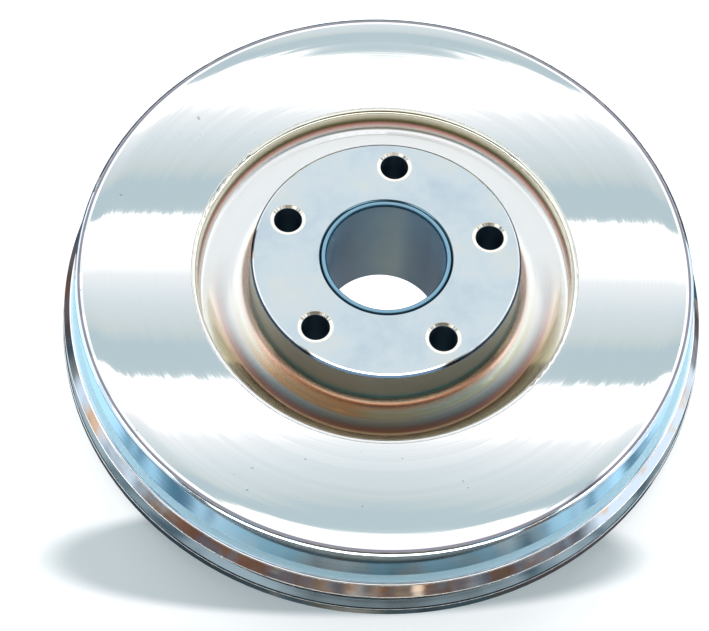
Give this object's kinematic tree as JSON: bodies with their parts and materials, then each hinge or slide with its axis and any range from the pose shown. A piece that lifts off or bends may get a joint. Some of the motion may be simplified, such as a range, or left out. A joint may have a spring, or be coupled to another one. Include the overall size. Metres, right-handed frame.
{
  "type": "damper pulley",
  "caption": "Polished belt pulley with a raised bolted hub in a turned recess, a V-groove in its rim, and a sealed viscous damper ring inside.",
  "frame": {"origin": "centre of the bore at the hub's rear face, which is the lowest face", "axes": "+Z along the shaft axis, towards the hub's front face; +X across the shaft, 84.2 degrees clockwise of the first bolt hole seen from the front"},
  "size_m": [0.21, 0.21, 0.045],
  "materials": {
    "polished_steel": "mirror polished, turned",
    "sleeve_steel": "ground",
    "ring_iron": "turned",
    "bearing_ptfe": "satin",
    "pad_plastic": "satin",
    "seal_rubber": "matt",
    "screw_steel": "black oxide",
    "washer_copper": "satin"
  },
  "bodies": {
    "pulley": {"damper_housing": "polished_steel", "front_cover": "polished_steel", "belt_flange": "polished_steel", "hub_sleeve": "sleeve_steel", "outer_seal": "seal_rubber", "inner_seal": "seal_rubber", "cover_screws": "screw_steel", "fill_plug_1": "screw_steel", "fill_plug_2": "screw_steel", "plug_seal_1": "washer_copper", "plug_seal_2": "washer_copper"},
    "damper_ring": {"inertia_ring": "ring_iron", "ring_bearing": "bearing_ptfe", "front_pad_1": "pad_plastic", "front_pad_2": "pad_plastic", "front_pad_3": "pad_plastic", "front_pad_4": "pad_plastic", "front_pad_5": "pad_plastic", "front_pad_6": "pad_plastic", "rear_pad_1": "pad_plastic", "rear_pad_2": "pad_plastic", "rear_pad_3": "pad_plastic", "rear_pad_4": "pad_plastic", "rear_pad_5": "pad_plastic", "rear_pad_6": "pad_plastic"}
  },
  "joints": [
    {"name": "ring_spin", "type": "hinge", "parent": "pulley", "child": "damper_ring", "pos_m": [0, 0, 0.0214], "axis": [0, 0, 1], "continuous": true}
  ]
}
